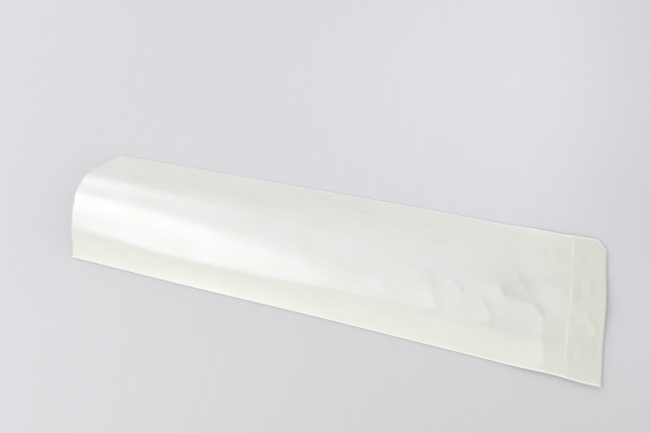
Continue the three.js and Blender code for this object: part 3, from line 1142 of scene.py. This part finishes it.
@dataclass(frozen=True)
class GreaseproofPaper:
    """The finish of the paper: off-white and glazed, warmer where more plies lie together, with painted highlights
    and shade.

    A share is how much of a colour is mixed in, and a run gives the places where that is none and full.

    Attributes:
        cloud: scales, detail and roughness of the broad pattern.
        grain: the same for the streaks along the sheet.
        fibre: the same for the fine pattern.
        tint: shares of the three patterns in the mottling.
        relief: their heights, in metres.
    """

    thin: Colour = (0.760, 0.774, 0.739, 1)
    thick: Colour = (0.780, 0.780, 0.705, 1)
    end: Colour = (0.700, 0.700, 0.598, 1)
    # shade: the darker colour of the mottling, of the inner fold lines, and of the painted shade at the dents and
    # beside the near inner fold.
    shade: Colour = (0.670, 0.672, 0.605, 1)
    # painted highlight: the lighter colour along the side folds and at the flap's cut edge.
    painted_highlight: Colour = (0.890, 0.890, 0.860, 1)
    end_share: float = 0.85
    end_run: Point = (-24 * MM, 9 * MM)
    tint_run: Point = (0.42, 0.70)
    tint_share: float = 0.45
    tint_share_at_end: float = 0.55
    lines_and_shade_share: float = 0.4
    side_highlight_share: float = 0.7
    side_highlight_run: Point = (1.5 * MM, 0.5 * MM)
    flap_highlight_share: float = 0.4
    flap_highlight_run: Point = (0.7 * MM, 0.3 * MM)
    flap_highlight_breaks: Point = (0.44, 0.58)
    cloud: tuple[Point, float, float] = ((30, 60), 3, 0.55)
    grain: tuple[Point, float, float] = ((45, 900), 2, 0.5)
    fibre: tuple[Point, float, float] = ((1100, 1600), 3, 0.6)
    tint: tuple[float, float, float] = (0.5, 0.3, 0.2)
    relief: tuple[float, float, float] = (0.17 * MM, 0.016 * MM, 0.007 * MM)
    roughness: float = 0.30
    roughness_change: float = 0.10
    specular: float = 0.82

    def material(self, sizes: BagSizes) -> bpy.types.Material:
        """Builds the material.

        Args:
            sizes: the bag's sizes, which say where its plies lie.

        Returns:
            The material.
        """
        shader = Shader("greaseproof_paper")
        uv = shader.add("ShaderNodeUVMap", {"uv_map": "UVMap"}, {}).outputs["UV"]
        split = shader.add("ShaderNodeSeparateXYZ", {}, {0: uv})
        along, round_sheet = Num(shader, split.outputs[0]), Num(shader, split.outputs[1])
        patterns = [shader.noise(uv, *pattern) for pattern in (self.cloud, self.grain, self.fibre)]

        def blend(shares: Sequence[float]) -> Num:
            """Adds up the patterns by their shares."""
            cloud, grain, fibre = (pattern * share for pattern, share in zip(patterns, shares))
            return cloud + grain + fibre

        def painted_highlight(distance: Num, run: Point) -> Num:
            """Masks a line of painted highlight."""
            return distance.absolute().step(*run)

        end = (along - sizes.flap_edge).step(*self.end_run)
        colour = shader.mix(shader.attribute("plies"), self.thin, self.thick)
        colour = shader.mix(end * self.end_share, colour, self.end)
        mottling = blend(self.tint).step(*self.tint_run) * (end * self.tint_share_at_end + self.tint_share)
        # Mottling, the inner fold lines and the painted shade darken the colour.
        colour = shader.mix(mottling + shader.attribute("lines") * self.lines_and_shade_share, colour, self.shade)
        # Painted highlights: lighter lines along both side folds and, broken up, at the flap's cut edge.
        side_highlights = painted_highlight(round_sheet, self.side_highlight_run) + painted_highlight(round_sheet - sizes.width, self.side_highlight_run)
        flap = painted_highlight(along - sizes.flap_edge, self.flap_highlight_run) * patterns[0].step(*self.flap_highlight_breaks)
        colour = shader.mix(side_highlights * self.side_highlight_share + flap * self.flap_highlight_share, colour, self.painted_highlight)
        bump = shader.add("ShaderNodeBump", {}, {"Strength": 1.0, "Distance": 1.0, "Height": blend(self.relief)})
        return shader.finish({
            "Base Color": colour,
            "Roughness": patterns[0] * self.roughness_change + (self.roughness - self.roughness_change / 2),
            "Specular IOR Level": self.specular,
            "Normal": bump.outputs[0],
        })


@dataclass(frozen=True)
class Camera:
    """The camera that the bag was seen with.

    Its focal length and the picture's width are in pixels, the sensor's in millimetres, its place in metres. Its
    heading from +Y, its tilt down and its roll are in degrees.
    """

    focal: float = 600
    picture: float = 650
    sensor: float = 36
    nearest: float = 0.01
    place: tuple[float, float, float] = (0.0182, -0.1412, 0.3884)
    yaw: float = -11.44
    pitch: float = 66.15
    roll: float = -1.02

    def make(self) -> None:
        """Adds the camera as the scene's."""
        yaw, pitch, roll = (math.radians(angle) for angle in (self.yaw, self.pitch, self.roll))
        turn = (
            Matrix.Rotation(-yaw, 4, "Z")
            @ Matrix.Rotation(math.pi / 2 - pitch, 4, "X")
            @ Matrix.Rotation(-roll, 4, "Z")
        )
        bpy.ops.object.camera_add()
        camera = bpy.context.object
        camera.data.sensor_width = self.sensor
        camera.data.lens = self.focal * self.sensor / self.picture
        camera.data.clip_start = self.nearest
        camera.matrix_world = Matrix.Translation(self.place) @ turn
        bpy.context.scene.camera = camera


@dataclass(frozen=True)
class Lamp:
    """A soft square lamp that points at the bag."""

    name: str
    place: tuple[float, float, float]
    size: float
    power: float
    colour: tuple[float, float, float]

    def make(self) -> None:
        """Adds the lamp."""
        bpy.ops.object.light_add(type="AREA", location=self.place)
        lamp = bpy.context.object
        lamp.name = self.name
        lamp.data.shape = "SQUARE"
        lamp.data.size = self.size
        lamp.data.energy = self.power
        lamp.data.color = self.colour
        lamp.rotation_euler = (-Vector(self.place)).to_track_quat("-Z", "Y").to_euler()


@dataclass
class Studio:
    """The plain pale table, the soft light and the camera.

    Attributes:
        table_reach: how far from the middle the table's painted light changes.
        pale: painted light, as shares of table_colour in the middle, and added at the back, at the right, in the
            corners; and by the brush, a faint texture.
        corner: painted shade, as the share that the far right corner loses, and the runs to the right and to the
            back.
    """

    table_size: float = 6.0
    table_reach: float = 0.2
    table_colour: Colour = (0.757, 0.755, 0.788, 1)
    table_painted_shade: Colour = (0.590, 0.577, 0.583, 1)
    table_roughness: float = 0.9
    pale: tuple[float, float, float, float, float] = (0.37, 0.265, 0.13, 0.235, 0.15)
    corner: tuple[float, Point, Point] = (0.38, (0.11, 0.22), (-0.02, 0.1))
    brush: tuple[Point, float, float] = ((160, 25), 3, 0.6)
    world_colour: Colour = (1, 1, 1, 1)
    world_strength: float = 0.67
    lamps: tuple[Lamp, ...] = (
        Lamp("window", (-0.50, -0.58, 0.93), 0.9, 6.6, (0.985, 1.0, 1.02)),
        Lamp("window_behind", (-0.85, 0.7, 0.65), 0.9, 4.1, (0.94, 0.98, 1.08)),
    )

    def make_table(self) -> None:
        """Adds the table top."""
        bpy.ops.mesh.primitive_plane_add(size=self.table_size, location=(0, 0, 0))
        table = bpy.context.object
        table.name = "table_top"
        shader = Shader("table_painted_light")
        place = shader.add("ShaderNodeTexCoord", {}, {}).outputs["Object"]
        split = shader.add("ShaderNodeSeparateXYZ", {}, {0: place})
        x, y = Num(shader, split.outputs[0]), Num(shader, split.outputs[1])
        # Painted light and shade: the table's colour runs between table_painted_shade and table_colour with the place
        # on it; the brush noise is its faint texture.
        right, back = (axis.step(-self.table_reach, self.table_reach) * 2.0 - 1.0 for axis in (x, y))
        middle, to_back, to_right, to_corner, by_brush = self.pale
        pale = back * to_back + right * to_right + right * back * to_corner
        pale = pale + (shader.noise(place, *self.brush) - 0.5) * by_brush + middle
        # Painted shade towards the far right corner.
        painted_corner_shade, right_run, back_run = self.corner
        pale = pale - x.step(*right_run) * y.step(*back_run) * painted_corner_shade
        colour = shader.mix(pale, self.table_painted_shade, self.table_colour)
        table.data.materials.append(shader.finish({"Base Color": colour, "Roughness": self.table_roughness}))

    def make_world(self) -> None:
        """Lights the room evenly."""
        world = bpy.data.worlds.new("room")
        world.use_nodes = True
        background = world.node_tree.nodes["Background"]
        background.inputs["Color"].default_value = self.world_colour
        background.inputs["Strength"].default_value = self.world_strength
        bpy.context.scene.world = world

    def make(self) -> None:
        """Sets up the table, the light and the camera."""
        self.make_table()
        self.make_world()
        for lamp in self.lamps:
            lamp.make()
        Camera().make()
        bpy.context.scene.view_settings.view_transform = "Standard"


def main() -> None:
    """Makes the bag and the studio round it."""
    logging.basicConfig(level=logging.INFO, format="%(name)s: %(message)s")
    bag = PaperBag()
    piece = bag.build()
    piece.data.materials.clear()
    piece.data.materials.append(GreaseproofPaper().material(bag.tube.sizes))
    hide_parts("paper_bag")
    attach(piece, "root")
    Studio().make()


if __name__ == "__main__":
    main()
